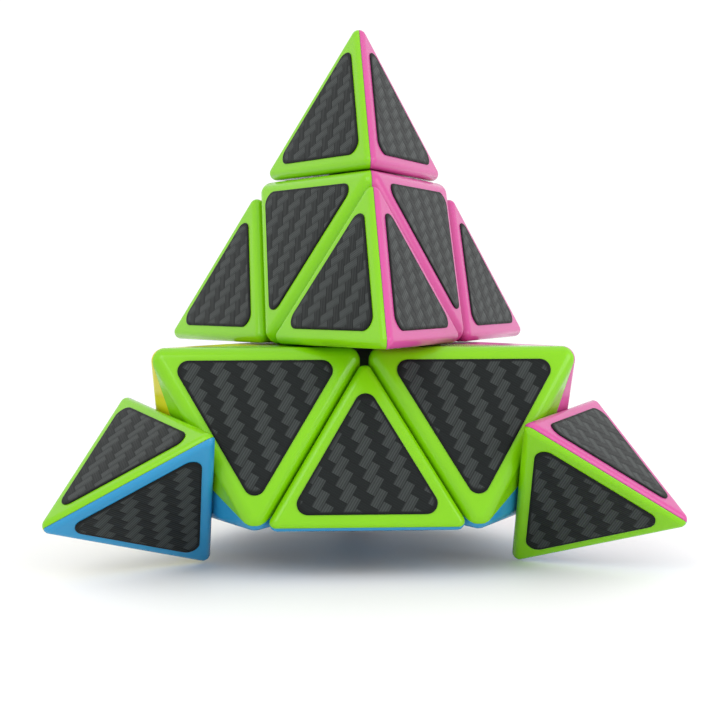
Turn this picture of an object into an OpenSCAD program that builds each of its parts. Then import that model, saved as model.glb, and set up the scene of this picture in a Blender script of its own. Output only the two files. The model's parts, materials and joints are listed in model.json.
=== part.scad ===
// Pyramid twisty puzzle: a regular tetrahedron cut into 4 tips, 4 axial pieces and 6 edge pieces,
// which turn about four screws in a central core. The origin is the core's centre, where the four
// turning axes meet, and +Z runs up through the top tip. The upper layer and the tips are stored
// part-turned, so joint value 0 is that state.

/* [Puzzle] */
// Length of the puzzle's side between its sharp, unrounded corners
side_length = 105; // [98:1:115]
// Gap between two neighbouring pieces
piece_gap = 0.3; // [0.2:0.05:0.5]
// Radius of the rounded edges of the tips and edge pieces
tetra_radius = 1.3; // [1:0.1:2]
// Radius of the rounded edges of the axial pieces
octa_radius = 2.2; // [1.5:0.1:2.6]
// Flats along each rounded edge
edge_steps = 4; // [3:1:6]

/* [Turned state] */
// Turn of the upper layer and the top tip about the upright axis, in degrees
layer_turn = -56; // [-180:1:180]
// Turn of the left tip about its own axis, in degrees
left_tip_turn = 52; // [-180:1:180]
// Turn of the right tip about its own axis, in degrees
right_tip_turn = 63; // [-180:1:180]
// Turn of the back tip about its own axis, in degrees
back_tip_turn = 60; // [-180:1:180]

/* [Shells] */
// Wall of the coloured shells
shell_wall = 1.8; // [1.4:0.1:2.2]
// Gap along the seam between two coloured shells of one piece
seam_gap = 0.1; // [0.05:0.05:0.2]
// Gap that the glue fills between a shell and the frame inside it
glue_gap = 0.05; // [0.05:0.05:0.1]
// Thickness of the frames' fins
fin_thickness = 1.2; // [0.8:0.1:1.6]

/* [Stickers] */
// Sticker thickness
sticker_thickness = 0.25; // [0.15:0.05:0.4]
// Corner radius of the stickers
sticker_radius = 1.75; // [1:0.25:3]
// Sharp side of a tip's sticker as a share of its triangle's side
tip_sticker_share = 0.71; // [0.6:0.01:0.75]
// Sharp side of an axial piece's sticker as a share of its triangle's side
axial_sticker_share = 0.78; // [0.6:0.01:0.8]
// Sharp side of an edge piece's sticker as a share of its triangle's side
edge_sticker_share = 0.70; // [0.6:0.01:0.75]

/* [Mechanism] */
// Radius of the sphere in which the edge pieces' feet slide
race_radius = 16; // [15.5:0.25:16.5]
// Radius of the core's ball
core_radius = 8; // [7:0.25:8.5]
// Distance from the centre to the end of each of the core's arms
arm_reach = 12; // [11:0.5:12.5]
// Radius of the core's arms
arm_radius = 4; // [3.5:0.1:4.2]
// Radius of the frame tube inside an axial piece
hub_radius = 6.8; // [6.5:0.1:7]
// Radius of the spigot on which a tip turns
spigot_radius = 5.2; // [4.8:0.1:5.4]
// Length of the spigot below the tip
spigot_length = 3; // [2:0.5:4]
// Radius of the screws' shanks
screw_radius = 1.5; // [1.5:0.1:1.6]
// Turns of each tension spring
spring_turns = 5; // [4:1:7]

/* [Hidden] */

// Angles of a regular tetrahedron: half its dihedral angle, and the tilt of a face's normal from
// the plane across the axis of a corner on that face
half_dihedral = atan(sqrt(0.5));
face_lift = asin(1 / 3);

// Directions from the centre to the left and back corners
left_axis = [-sqrt(2 / 3), -sqrt(2) / 3, -1 / 3];
back_axis = [0, 2 * sqrt(2) / 3, -1 / 3];

// Around a corner's axis, the azimuths of its three long edges and of its three coloured faces
edge_azimuths = [210, 330, 90];
face_azimuths = [-90, 30, 150];

// The height is twelve layers thick: the cuts lie one layer from the centre and five layers from it
piece_side = side_length / 3;
layer = side_length * sqrt(2 / 3) / 12;
half_gap = piece_gap / 2;
big = side_length;

// Inner sizes: inset of the hollow inside a shell, and the three spheres around the core
wall_inset = half_gap + shell_wall;
frame_inset = wall_inset + glue_gap;
feet_radius = race_radius - half_gap;
race_clearance_radius = race_radius + half_gap;
skirt_radius = race_clearance_radius + shell_wall;
neck_radius = skirt_radius - glue_gap;

// The feet reach under the axial pieces as far as these planes
foot_inner_plane = 2.65;
foot_outer_plane = 2.35;

// Stack on each screw, measured from the centre: the tip's cut face, its base, washer, spring, head
tip_cut = 5 * layer;
tip_floor = tip_cut + wall_inset + glue_gap;
base_thickness = 2;
washer_thickness = 0.5;
spring_length = 5.6;
head_height = 2;
head_radius = 2.8;
washer_bottom = tip_floor + base_thickness;
spring_bottom = washer_bottom + washer_thickness;
head_bottom = spring_bottom + spring_length;
bore_radius = screw_radius + 0.15;
thread_radius = screw_radius + 0.02;
screw_bottom = 5;
base_radius = 6.3;
washer_radius = 3.1;
tip_fin_start = 3.6;
spigot_play = 0.08;

// How far a cutting tool runs past the face that it cuts
overshoot = 1;

wire_radius = 0.3;
spring_radius = 2.2;
segments_per_turn = 10;
wire_sides = 6;

// Steps in each rounded corner of a sticker, and how far a blunt corner reaches in edge radii
sticker_steps = 6;
corner_reach = 1.15;

// The first step from a face's centre to the centre of a piece's triangle
face_step = piece_side / sqrt(3);

arm_play = 0.1;
hub_bottom = 14;
recess_width = 0.7;
recess_length = 3.4;

lime = "#9ae32a";
pink = "#ec62b0";
yellow = "#e6dc1c";
blue = "#3f93cf";
frame_tone = "#2b2c2e";
sticker_tone = "#37393c";
steel_tone = "#b9bcc0";

// ---- outlines ----

// An arc of points about a centre, from one direction to another, measured from +Y towards +X
function arc(centre, radius, from, to, steps) = [
    for (i = [0:steps])
        let (t = from + (to - from) * i / steps)
        centre + radius * [sin(t), cos(t)]
];

// A corner that points along +Y, rounded if it has a radius; flank is half the angle at the corner
function corner_points(height, flank, radius) = radius == 0 ? [[0, height]] :
    arc([0, height - radius / sin(flank)], radius, flank - 90, 90 - flank, edge_steps);

// Cross-section of a tetrahedron along one of its edges, with that edge at the top
function tetra_profile(inradius, radius) =
    let (side = inradius * 2 * sqrt(6))
    let (half_height = side / sqrt(8))
    concat(
        corner_points(half_height, half_dihedral, radius),
        [[side / 2, -half_height], [-side / 2, -half_height]]
    );

// Cross-section of an octahedron along two of its edges, with those edges at the top and bottom
function octa_profile(inradius, radius) =
    let (side = inradius * sqrt(6))
    let (top = corner_points(side / 2, 90 - half_dihedral, radius))
    concat(top, [[side / sqrt(2), 0]], -top, [[-side / sqrt(2), 0]]);

// A triangle with rounded corners, one of them towards -X
function rounded_triangle(side, radius) = [
    for (corner = [-90, 30, 150])
        for (point = arc((side / sqrt(3) - 2 * radius) * [sin(corner), cos(corner)],
            radius, corner - 60, corner + 60, sticker_steps))
            point
];

// ---- solid blocks ----

// A long bar along Y whose cross-section is drawn in X and Z
module bar(profile) {
    rotate([90, 0, 0]) linear_extrude(height = 2 * big, center = true) polygon(profile);
}

// The two bars that share one edge direction of an upright tetrahedron and its opposite edge
module tetra_bars(profile) {
    intersection() {
        rotate([0, 90 - half_dihedral, 0]) rotate([0, 0, 90]) bar(profile);
        rotate([0, 270 - half_dihedral, 0]) bar(profile);
    }
}

// Tetrahedron about its own centre, one corner up
module sharp_tetra(inradius) {
    rotate([0, 0, 90]) tetra_bars(tetra_profile(inradius, 0));
}

// The same with rounded edges and blunt corners
module round_tetra(inradius, radius) {
    intersection() {
        for_each_edge() tetra_bars(tetra_profile(inradius, radius));
        mirror([0, 0, 1]) rotate([0, 0, 180]) sharp_tetra(3 * (inradius - radius) + corner_reach * radius);
    }
}

// Intersection of three copies of a shape, one at each long edge of a corner
module for_each_edge() {
    intersection() {
        rotate([0, 0, edge_azimuths[0]]) children();
        rotate([0, 0, edge_azimuths[1]]) children();
        rotate([0, 0, edge_azimuths[2]]) children();
    }
}

// Two bars across each other that hold four edges of an octahedron
module octa_bars(profile) {
    intersection() {
        rotate([0, -half_dihedral, 0]) bar(profile);
        rotate([0, -half_dihedral, 0]) rotate([90, 0, 0]) bar(profile);
    }
}

// Octahedron about its own centre, one face up
module sharp_octa(inradius) {
    rotate([0, 0, 90]) octa_bars(octa_profile(inradius, 0));
}

// The same with rounded edges and blunt corners
module round_octa(inradius, radius) {
    intersection() {
        for_each_edge() octa_bars(octa_profile(inradius, radius));
        rotate([0, 0, 30]) rotate([0, half_dihedral - 90, 0]) rotate([0, 0, -45])
            cube(2 * (sqrt(3) * (inradius - radius) + corner_reach * radius), center = true);
    }
}

// ---- pieces about the axis of the top corner ----

// A third of the space about the axis, behind one coloured face, less half of each seam
module face_sector(azimuth) {
    rotate([0, 0, azimuth]) translate([seam_gap / 2 / sin(60), 0, 0])
        linear_extrude(height = 2 * big, center = true)
        polygon([[0, 0], [big, -big * tan(60)], [big, big * tan(60)]]);
}

// Plates in the seams' planes, clear of the axis
module fin_plates(inner_radius) {
    for (azimuth = edge_azimuths)
        rotate([0, 0, azimuth]) translate([inner_radius, -fin_thickness / 2, 0])
            cube([big, fin_thickness, big]);
}

// One coloured third of an axial piece: its walls and its share of the round skirt
module axial_shell(azimuth, tone) {
    color(tone) difference() {
        intersection() {
            translate([0, 0, 3 * layer]) round_octa(2 * layer - half_gap, octa_radius);
            face_sector(azimuth);
        }
        difference() {
            translate([0, 0, 3 * layer]) sharp_octa(2 * layer - wall_inset);
            sphere(skirt_radius);
        }
        sphere(race_clearance_radius);
        cylinder(r = hub_radius + glue_gap, h = big);
    }
}

// Frame inside an axial piece: a tube with the screw's bore and the tip's socket, and three fins
module axial_frame() {
    socket_depth = spigot_length + piece_gap;
    color(frame_tone) difference() {
        union() {
            translate([0, 0, arm_reach + arm_play]) cylinder(r = arm_radius, h = hub_bottom - arm_reach);
            translate([0, 0, hub_bottom]) cylinder(r = hub_radius, h = tip_cut - half_gap - hub_bottom);
            difference() {
                intersection() {
                    translate([0, 0, 3 * layer]) sharp_octa(2 * layer - frame_inset);
                    fin_plates(hub_radius - overshoot);
                }
                sphere(skirt_radius + glue_gap);
            }
        }
        cylinder(r = bore_radius, h = big);
        translate([0, 0, tip_cut - socket_depth]) cylinder(r = spigot_radius + spigot_play, h = big);
    }
}

// One coloured third of a tip
module tip_shell(azimuth, tone) {
    color(tone) difference() {
        intersection() {
            translate([0, 0, 6 * layer]) round_tetra(layer - half_gap, tetra_radius);
            face_sector(azimuth);
        }
        translate([0, 0, 6 * layer]) sharp_tetra(layer - wall_inset);
        cylinder(r = spigot_radius + glue_gap, h = washer_bottom);
    }
}

// Base of a tip: the spigot it turns on, the plate its spring presses on, and three fins
module tip_base() {
    spigot_bottom = tip_cut - spigot_length;
    color(frame_tone) difference() {
        union() {
            translate([0, 0, spigot_bottom]) cylinder(r = spigot_radius, h = tip_floor - spigot_bottom);
            translate([0, 0, tip_floor]) cylinder(r = base_radius, h = base_thickness);
            intersection() {
                translate([0, 0, 6 * layer]) sharp_tetra(layer - frame_inset);
                fin_plates(tip_fin_start);
            }
        }
        cylinder(r = bore_radius, h = washer_bottom + overshoot);
    }
}

// Sticker: a thin triangle with rounded corners, one of them towards -X
module sticker(side) {
    color(sticker_tone) linear_extrude(height = sticker_thickness)
        polygon(rounded_triangle(side, sticker_radius));
}

// Puts a shape on a coloured face, in a frame whose -X points to the top corner
module on_face(azimuth, offset) {
    rotate([0, 0, azimuth]) rotate([0, 90 - face_lift, 0])
        translate([offset, 0, 3 * layer - half_gap]) children();
}

module tip_stickers() {
    for (azimuth = face_azimuths)
        on_face(azimuth, -2 * face_step) sticker(tip_sticker_share * piece_side);
}

module axial_stickers() {
    for (azimuth = face_azimuths)
        on_face(azimuth, -face_step) rotate([0, 0, 180]) sticker(axial_sticker_share * piece_side);
}

// Screw through a tip and an axial piece into the core, with a cross recess in its head
module axis_screw() {
    color(steel_tone) difference() {
        union() {
            translate([0, 0, screw_bottom]) cylinder(r = screw_radius, h = head_bottom - screw_bottom);
            translate([0, 0, head_bottom]) cylinder(r = head_radius, h = head_height);
        }
        for (turn = [0, 90])
            translate([0, 0, head_bottom + head_height]) rotate([0, 0, turn])
                cube([recess_length, recess_width, head_height], center = true);
    }
}

module spring_washer() {
    color(steel_tone) translate([0, 0, washer_bottom]) difference() {
        cylinder(r = washer_radius, h = washer_thickness);
        translate([0, 0, -overshoot]) cylinder(r = bore_radius, h = washer_thickness + 2 * overshoot);
    }
}

// Coil spring between the washer and the screw's head, swept along a helix
module tension_spring() {
    rings = spring_turns * segments_per_turn;
    rise = spring_length - 2 * wire_radius;
    points = [
        for (i = [0:rings])
            for (j = [0:wire_sides - 1])
                let (turn = 360 * i / segments_per_turn)
                let (around = 360 * j / wire_sides)
                let (reach = spring_radius + wire_radius * cos(around))
                [
                    reach * cos(turn),
                    reach * sin(turn),
                    spring_bottom + wire_radius + rise * i / rings + wire_radius * sin(around)
                ]
    ];
    sides = [
        for (i = [0:rings - 1])
            for (j = [0:wire_sides - 1])
                let (next = (j + 1) % wire_sides)
                [i * wire_sides + j, i * wire_sides + next,
                    (i + 1) * wire_sides + next, (i + 1) * wire_sides + j]
    ];
    first_end = [for (j = [wire_sides - 1:-1:0]) j];
    last_end = [for (j = [0:wire_sides - 1]) rings * wire_sides + j];
    color(steel_tone) polyhedron(points, concat(sides, [first_end, last_end]));
}

// ---- edge pieces, with their outer edge along Y and above the origin ----

module place_edge_block() {
    translate([0, 0, piece_side / sqrt(2)]) rotate([0, 0, -90])
        rotate([0, half_dihedral - 90, 0]) rotate([0, 0, -90]) children();
}

// One coloured half of an edge piece; half_turn 0 is the half towards +X and 180 the other
module edge_shell(half_turn, tone) {
    color(tone) difference() {
        intersection() {
            place_edge_block() round_tetra(layer - half_gap, tetra_radius);
            rotate([0, 0, half_turn]) translate([seam_gap / 2, -big, 0]) cube([big, 2 * big, big]);
        }
        place_edge_block() sharp_tetra(layer - wall_inset);
        sphere(skirt_radius);
    }
}

// Foot of an edge piece: a curved slab that slides round the core under the neighbouring skirts,
// the wedge-shaped neck between them, and the fin that carries the two shells
module edge_foot() {
    reach = 2 * race_radius;
    wedge_bottom = foot_inner_plane / sin(half_dihedral);
    wedge_spread = (reach * sin(half_dihedral) - foot_inner_plane) / cos(half_dihedral);
    slab_narrow = foot_outer_plane / cos(half_dihedral);
    slab_wide = (reach * sin(half_dihedral) + foot_outer_plane) / cos(half_dihedral);
    color(frame_tone) union() {
        difference() {
            intersection() {
                sphere(feet_radius);
                rotate([0, 0, 90]) bar([[0, wedge_bottom], [wedge_spread, reach], [-wedge_spread, reach]]);
                bar([[slab_narrow, 0], [slab_wide, reach], [-slab_wide, reach], [-slab_narrow, 0]]);
            }
            sphere(core_radius + piece_gap);
        }
        intersection() {
            place_edge_block() sharp_tetra(layer - half_gap);
            sphere(neck_radius);
        }
        intersection() {
            place_edge_block() sharp_tetra(layer - frame_inset);
            translate([-fin_thickness / 2, -big, 0]) cube([fin_thickness, 2 * big, big]);
        }
    }
}

module edge_stickers() {
    for (half_turn = [0, 180])
        rotate([0, 0, half_turn]) rotate([0, 90 - half_dihedral, 0])
            translate([-face_step, 0, 3 * layer - half_gap])
            rotate([0, 0, 180]) sticker(edge_sticker_share * piece_side);
}

// ---- places: each corner and edge, with its turn about its own axis or about +Z ----

module at_top(turn) {
    rotate([0, 0, turn]) children();
}

module at_left(turn = 0) {
    rotate(a = -120, v = back_axis) rotate([0, 0, turn]) children();
}

module at_right(turn = 0) {
    rotate(a = 120, v = back_axis) rotate([0, 0, turn]) children();
}

module at_back(turn = 0) {
    rotate(a = 120, v = left_axis) rotate([0, 0, turn]) children();
}

// Lower edge pieces: 0 is the front one, 120 the right one and 240 the left one
module at_lower_edge(turn) {
    rotate([0, 0, turn - 90]) rotate([0, 90 + half_dihedral, 0]) children();
}

// Upper edge pieces, turned with the upper layer: 0 is the front one, 120 and 240 as below
module at_upper_edge(turn) {
    rotate([0, 0, turn + layer_turn]) rotate(a = -120, v = back_axis) at_lower_edge(0) children();
}

// One copy of a shape on each of the four axes
module on_each_axis() {
    at_top(layer_turn) children();
    at_left() children();
    at_right() children();
    at_back() children();
}

// ---- fixed parts ----

module core() {
    color(frame_tone) difference() {
        union() {
            sphere(core_radius);
            on_each_axis() translate([0, 0, screw_bottom])
                cylinder(r = arm_radius, h = arm_reach - screw_bottom);
        }
        on_each_axis() translate([0, 0, screw_bottom - overshoot])
            cylinder(r = thread_radius, h = arm_reach);
    }
}

module axis_screws() {
    on_each_axis() axis_screw();
}

module tension_springs() {
    on_each_axis() tension_spring();
}

module spring_washers() {
    on_each_axis() spring_washer();
}

module lower_stickers() {
    at_left() axial_stickers();
    at_right() axial_stickers();
    at_back() axial_stickers();
    for (turn = [0, 120, 240])
        at_lower_edge(turn) edge_stickers();
}

module upper_stickers() {
    at_top(layer_turn) axial_stickers();
    for (turn = [0, 120, 240])
        at_upper_edge(turn) edge_stickers();
}

// ---- the pieces ----

core();
axis_screws();
tension_springs();
spring_washers();

at_left() axial_frame();  // left_axial_frame
at_left() axial_shell(-90, lime);  // left_axial_shell_lime
at_left() axial_shell(30, yellow);  // left_axial_shell_yellow
at_left() axial_shell(150, blue);  // left_axial_shell_blue
at_right() axial_frame();  // right_axial_frame
at_right() axial_shell(-90, lime);  // right_axial_shell_lime
at_right() axial_shell(150, pink);  // right_axial_shell_pink
at_right() axial_shell(30, blue);  // right_axial_shell_blue
at_back() axial_frame();  // back_axial_frame
at_back() axial_shell(-90, yellow);  // back_axial_shell_yellow
at_back() axial_shell(30, pink);  // back_axial_shell_pink
at_back() axial_shell(150, blue);  // back_axial_shell_blue

at_lower_edge(0) edge_foot();  // front_edge_foot
at_lower_edge(0) edge_shell(180, lime);  // front_edge_shell_lime
at_lower_edge(0) edge_shell(0, blue);  // front_edge_shell_blue
at_lower_edge(120) edge_foot();  // right_edge_foot
at_lower_edge(120) edge_shell(180, pink);  // right_edge_shell_pink
at_lower_edge(120) edge_shell(0, blue);  // right_edge_shell_blue
at_lower_edge(240) edge_foot();  // left_edge_foot
at_lower_edge(240) edge_shell(180, yellow);  // left_edge_shell_yellow
at_lower_edge(240) edge_shell(0, blue);  // left_edge_shell_blue
lower_stickers();

at_top(layer_turn) axial_frame();  // top_axial_frame
at_top(layer_turn) axial_shell(-90, lime);  // top_axial_shell_lime
at_top(layer_turn) axial_shell(30, pink);  // top_axial_shell_pink
at_top(layer_turn) axial_shell(150, yellow);  // top_axial_shell_yellow
at_upper_edge(0) edge_foot();  // upper_front_edge_foot
at_upper_edge(0) edge_shell(180, lime);  // upper_front_edge_shell_lime
at_upper_edge(0) edge_shell(0, pink);  // upper_front_edge_shell_pink
at_upper_edge(120) edge_foot();  // upper_right_edge_foot
at_upper_edge(120) edge_shell(180, pink);  // upper_right_edge_shell_pink
at_upper_edge(120) edge_shell(0, yellow);  // upper_right_edge_shell_yellow
at_upper_edge(240) edge_foot();  // upper_left_edge_foot
at_upper_edge(240) edge_shell(180, yellow);  // upper_left_edge_shell_yellow
at_upper_edge(240) edge_shell(0, lime);  // upper_left_edge_shell_lime
upper_stickers();

at_top(layer_turn) tip_base();  // top_tip_base
at_top(layer_turn) tip_shell(-90, lime);  // top_tip_shell_lime
at_top(layer_turn) tip_shell(30, pink);  // top_tip_shell_pink
at_top(layer_turn) tip_shell(150, yellow);  // top_tip_shell_yellow
at_top(layer_turn) tip_stickers();  // top_tip_stickers
at_left(left_tip_turn) tip_base();  // left_tip_base
at_left(left_tip_turn) tip_shell(-90, lime);  // left_tip_shell_lime
at_left(left_tip_turn) tip_shell(30, yellow);  // left_tip_shell_yellow
at_left(left_tip_turn) tip_shell(150, blue);  // left_tip_shell_blue
at_left(left_tip_turn) tip_stickers();  // left_tip_stickers
at_right(right_tip_turn) tip_base();  // right_tip_base
at_right(right_tip_turn) tip_shell(-90, lime);  // right_tip_shell_lime
at_right(right_tip_turn) tip_shell(150, pink);  // right_tip_shell_pink
at_right(right_tip_turn) tip_shell(30, blue);  // right_tip_shell_blue
at_right(right_tip_turn) tip_stickers();  // right_tip_stickers
at_back(back_tip_turn) tip_base();  // back_tip_base
at_back(back_tip_turn) tip_shell(-90, yellow);  // back_tip_shell_yellow
at_back(back_tip_turn) tip_shell(30, pink);  // back_tip_shell_pink
at_back(back_tip_turn) tip_shell(150, blue);  // back_tip_shell_blue
at_back(back_tip_turn) tip_stickers();  // back_tip_stickers
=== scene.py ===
"""Pyramid twisty puzzle: coloured shells, carbon-weave stickers and springs on its packed frame."""

import json
from math import asin, atan, atan2, cos, degrees, pi, radians, sin, sqrt, tan

import bmesh
import bpy
from bpy.props import FloatProperty, FloatVectorProperty, IntProperty, PointerProperty
from mathutils import Matrix, Vector


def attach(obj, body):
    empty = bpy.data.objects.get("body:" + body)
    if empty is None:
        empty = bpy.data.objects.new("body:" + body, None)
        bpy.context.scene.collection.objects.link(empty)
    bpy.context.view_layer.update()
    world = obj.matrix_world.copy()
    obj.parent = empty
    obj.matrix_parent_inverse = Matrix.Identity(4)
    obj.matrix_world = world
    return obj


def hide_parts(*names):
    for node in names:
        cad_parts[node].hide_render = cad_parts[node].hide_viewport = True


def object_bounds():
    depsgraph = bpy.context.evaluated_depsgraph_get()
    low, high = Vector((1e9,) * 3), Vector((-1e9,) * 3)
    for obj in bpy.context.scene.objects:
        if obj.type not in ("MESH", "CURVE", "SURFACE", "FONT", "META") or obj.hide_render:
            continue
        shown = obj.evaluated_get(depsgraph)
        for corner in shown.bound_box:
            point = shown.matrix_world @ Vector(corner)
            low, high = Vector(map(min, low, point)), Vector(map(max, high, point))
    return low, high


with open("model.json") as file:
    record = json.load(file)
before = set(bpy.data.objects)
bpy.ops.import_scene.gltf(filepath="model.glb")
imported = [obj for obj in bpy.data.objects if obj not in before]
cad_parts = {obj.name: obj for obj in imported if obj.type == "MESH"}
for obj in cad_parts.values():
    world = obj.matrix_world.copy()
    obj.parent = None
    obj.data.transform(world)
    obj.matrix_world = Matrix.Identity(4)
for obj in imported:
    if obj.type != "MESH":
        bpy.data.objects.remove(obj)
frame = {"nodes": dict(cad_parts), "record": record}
CAD_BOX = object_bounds()

bl_info = {
    "name": "Pyramid Twisty Puzzle",
    "version": (1, 0, 0),
    "blender": (4, 5, 0),
    "location": "View3D > Sidebar > Puzzle",
    "description": "Shells, stickers and springs of a pyramid twisty puzzle",
    "category": "Add Mesh",
}

MM = 0.001
UP = Vector((0, 0, 1))
ORIGIN = Vector((0, 0, 0))

# Angles of a regular tetrahedron, in radians
HALF_DIHEDRAL = atan(sqrt(0.5))
FACE_LIFT = asin(1 / 3)

# Directions from the centre to the left and back corners
LEFT_AXIS = Vector((-sqrt(2 / 3), -sqrt(2) / 3, -1 / 3))
BACK_AXIS = Vector((0, 2 * sqrt(2) / 3, -1 / 3))

# Azimuths of the coloured faces about a corner's axis, and the colours that they have there
CORNER_COLOURS = {
    "top": {-90: "lime", 30: "pink", 150: "yellow"},
    "left": {-90: "lime", 30: "yellow", 150: "blue"},
    "right": {-90: "lime", 30: "blue", 150: "pink"},
    "back": {-90: "yellow", 30: "pink", 150: "blue"},
}

# Colours of each edge piece's two halves, keyed by the half's turn in degrees
EDGE_COLOURS = {
    "front": {180: "lime", 0: "blue"},
    "right": {180: "pink", 0: "blue"},
    "left": {180: "yellow", 0: "blue"},
    "upper_front": {180: "lime", 0: "pink"},
    "upper_right": {180: "pink", 0: "yellow"},
    "upper_left": {180: "yellow", 0: "lime"},
}
EDGE_TURNS = {"front": 0, "right": 120, "left": 240}

# Stored turns of the upper layer with the top tip, and of the other tips
TIP_TURNS = {"top": 0, "left": 52, "right": 63, "back": 60}
LAYER_TURN = -56

# Steps in a sticker's rounded corner, sides of a spring's wire, and the distance under which two
# points are the same
CORNER_STEPS = 12
WIRE_SIDES = 12
SAME_POINT = 1e-6

# Places and sizes of the two lights in metres, and the camera's sensor in millimetres
KEY_PLACE = (-0.35, -0.55, 0.55)
KEY_SIZE = 0.45
FILL_PLACE = (0.55, -0.35, 0.25)
FILL_SIZE = 0.4
SENSOR_WIDTH = 36


# ---- sizes and colours ----


def length(name, text, value, low, high):
    """A length in metres that a user may change."""
    return FloatProperty(
        name=name, description=text, default=value, min=low, max=high,
        precision=5, subtype="DISTANCE", unit="LENGTH",
    )


def colour(name, text, value):
    """A linear colour that a user may change."""
    return FloatVectorProperty(
        name=name, description=text, default=value, min=0, max=1, size=3, subtype="COLOR",
    )


def share(name, text, value, low=0.0, high=1.0):
    """A plain number that a user may change."""
    return FloatProperty(name=name, description=text, default=value, min=low, max=high)


class ShellSettings(bpy.types.PropertyGroup):
    """Sizes and colours of the moulded shells."""

    side: length("Side", "Puzzle's side between its sharp corners", 0.105, 0.09, 0.12)
    gap: length("Piece gap", "Gap between neighbouring pieces", 0.0003, 0.0001, 0.001)
    tetra_radius: length("Tetra radius", "Edges of the tips and edge pieces", 0.0013, 0.001, 0.002)
    octa_radius: length("Octa radius", "Edges of the axial pieces", 0.0022, 0.001, 0.003)
    arc_steps: IntProperty(
        name="Arc steps", description="Flats in half of a rounded edge", default=7, min=3, max=10
    )
    wall: length("Wall", "Thickness of a shell", 0.0018, 0.001, 0.0025)
    seam: length("Seam", "Gap between two shells of a piece", 0.00005, 0.00003, 0.0003)
    seam_width: length("Seam roll", "Width of the rolled rim at a seam", 0.00015, 0.0001, 0.0005)
    seam_drop: length("Seam depth", "How far that rim rolls inwards", 0.00005, 0.00003, 0.0003)
    race: length("Race", "Radius of the sphere that the feet slide in", 0.016, 0.015, 0.017)
    hub_hole: length("Hub hole", "Radius of the hole for the hub", 0.00685, 0.006, 0.007)
    spigot_hole: length("Spigot hole", "Radius of the hole for the spigot", 0.00525, 0.005, 0.006)
    lime: colour("Lime", "Lime plastic", (0.2, 0.53, 0.002))
    pink: colour("Pink", "Pink plastic", (0.55, 0.072, 0.28))
    yellow: colour("Yellow", "Yellow plastic", (0.6, 0.56, 0.006))
    blue: colour("Blue", "Blue plastic", (0.022, 0.26, 0.5))


class StickerSettings(bpy.types.PropertyGroup):
    """Sizes and colours of the carbon-weave stickers."""

    tip_side: length("Tip side", "Sharp side of a tip's sticker", 0.02485, 0.02, 0.028)
    axial_side: length("Axial side", "Sharp side of an axial's sticker", 0.0273, 0.02, 0.028)
    edge_side: length("Edge side", "Sharp side of an edge's sticker", 0.0245, 0.02, 0.028)
    radius: length("Corner radius", "Radius of a sticker's corners", 0.00175, 0.001, 0.004)
    thickness: length("Thickness", "Thickness of the film", 0.00025, 0.0001, 0.0005)
    rim: length("Rim", "Width of the pressed-down rim", 0.0004, 0.0001, 0.001)
    tow: length("Tow width", "Width of one woven tow", 0.00155, 0.0008, 0.003)
    threads: IntProperty(
        name="Threads", description="Fine ridges on each tow", default=4, min=2, max=8
    )
    # Twill pattern of the film, with the tows' sheen painted in: the lighter colour is painted
    # sheen, the darker one painted shade
    twill_sheen_tow: colour("Light tow", "Tows that run up the twill", (0.040, 0.047, 0.046))
    twill_shade_tow: colour("Dark tow", "Tows that run across it", (0.008, 0.011, 0.011))
    # Dark cut rim of the film, and also the colour that the painted shade on the tows fades to
    rim_and_shade_tone: colour("Rim tone", "Cut rim of the film", (0.004, 0.005, 0.005))
    lower_lean: share("Lower lean", "Twill line's angle on the lower block, degrees", 105, 0, 180)
    upper_lean: share("Upper lean", "Twill line's angle on the upper layer, degrees", 73, 0, 180)


class MechanismSettings(bpy.types.PropertyGroup):
    """Sizes and colours of what is inside."""

    spring_radius: length("Spring radius", "Radius of the coil", 0.0022, 0.001, 0.003)
    wire_radius: length("Wire radius", "Radius of the spring wire", 0.0003, 0.0001, 0.0005)
    spring_bottom: length("Spring bottom", "Centre to the spring's foot", 0.040222, 0.03, 0.05)
    spring_length: length("Spring length", "Height of the spring", 0.0056, 0.003, 0.008)
    spring_turns: IntProperty(
        name="Turns", description="Turns of the spring", default=5, min=3, max=9
    )
    frame_tone: colour("Frame tone", "Dark plastic of the frames", (0.023, 0.024, 0.027))
    steel_tone: colour("Steel tone", "Zinc-plated steel", (0.52, 0.53, 0.55))


class StageSettings(bpy.types.PropertyGroup):
    """Floor, lights and camera."""

    floor_size: length("Floor", "Side of the floor", 40.0, 0.5, 100)
    floor_tone: colour("Floor tone", "Pale floor", (0.93, 0.93, 0.93))
    sky: share("Sky", "Strength of the white surroundings", 1.1, 0, 5)
    key_power: share("Key power", "Watts of the light at the left", 1.5, 0, 20)
    fill_power: share("Fill power", "Watts of the light at the right", 1.3, 0, 20)
    azimuth: share("Azimuth", "Camera's turn about +Z, degrees", -2.11, -180, 180)
    elevation: share("Elevation", "Camera's height above the aim, degrees", 2.84, -90, 90)
    roll: share("Roll", "Camera's roll, degrees", 0.22, -10, 10)
    distance: length("Distance", "Camera to the aim point", 0.23977, 0.1, 2)
    aim_height: length("Aim height", "Aim point above the centre", 0.00395, -0.1, 0.1)
    lens: FloatProperty(
        name="Lens", description="Focal length in millimetres", default=68.3, min=20, max=200
    )


# ---- node trees ----


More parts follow.
